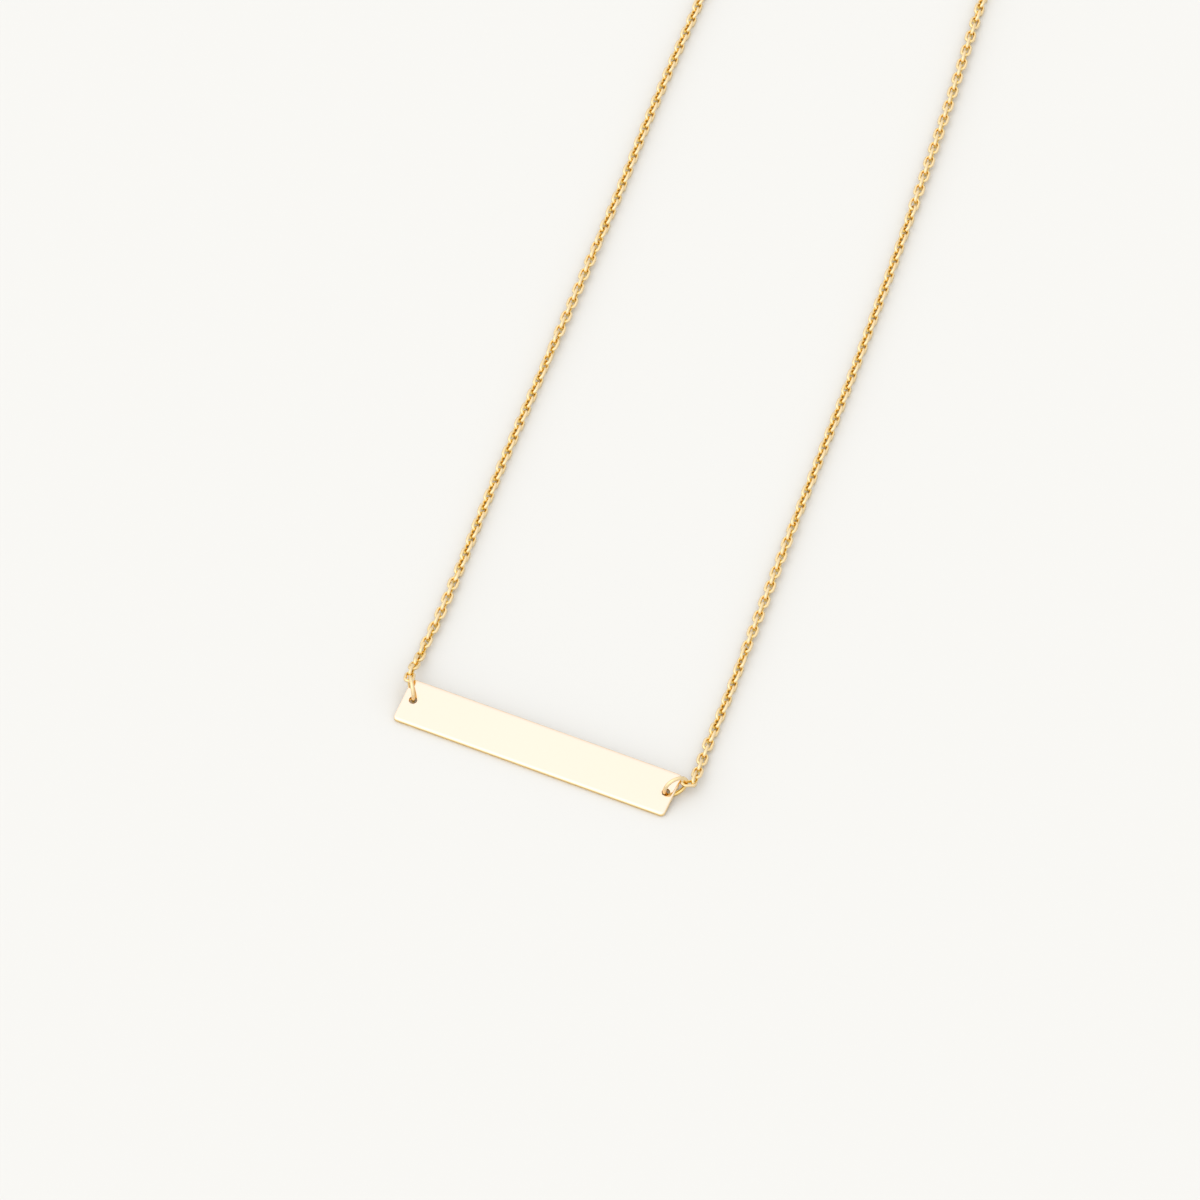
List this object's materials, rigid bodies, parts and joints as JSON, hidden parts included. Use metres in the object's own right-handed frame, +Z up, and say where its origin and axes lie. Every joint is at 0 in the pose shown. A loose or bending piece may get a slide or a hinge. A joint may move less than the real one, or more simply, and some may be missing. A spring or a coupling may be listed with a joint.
{
  "type": "bar pendant necklace",
  "caption": "Slim flat bar pendant held by a jump ring at each end of a fine cable chain, laid out as one open loop with a round clasp at the back of the neck.",
  "frame": {"origin": "on the surface that the necklace lies on, under the middle of its bounding box", "axes": "+Z up from the surface; +X along the plate, from its left end to its right end as the picture shows it; +Y from the plate towards the clasp"},
  "size_m": [0.0546, 0.1836, 0.003],
  "materials": {
    "bar_gold": null,
    "ring_gold": null,
    "chain_gold": null,
    "clasp_gold": null
  },
  "bodies": {
    "root": {"bar": "bar_gold", "ring_left": "ring_gold", "ring_right": "ring_gold", "link_left": "chain_gold", "link_right": "chain_gold", "chain_left": "chain_gold", "chain_right": "chain_gold", "clasp": "clasp_gold", "ring_clasp": "ring_gold", "ring_catch": "ring_gold", "link_clasp": "chain_gold", "link_catch": "chain_gold"}
  },
  "joints": []
}
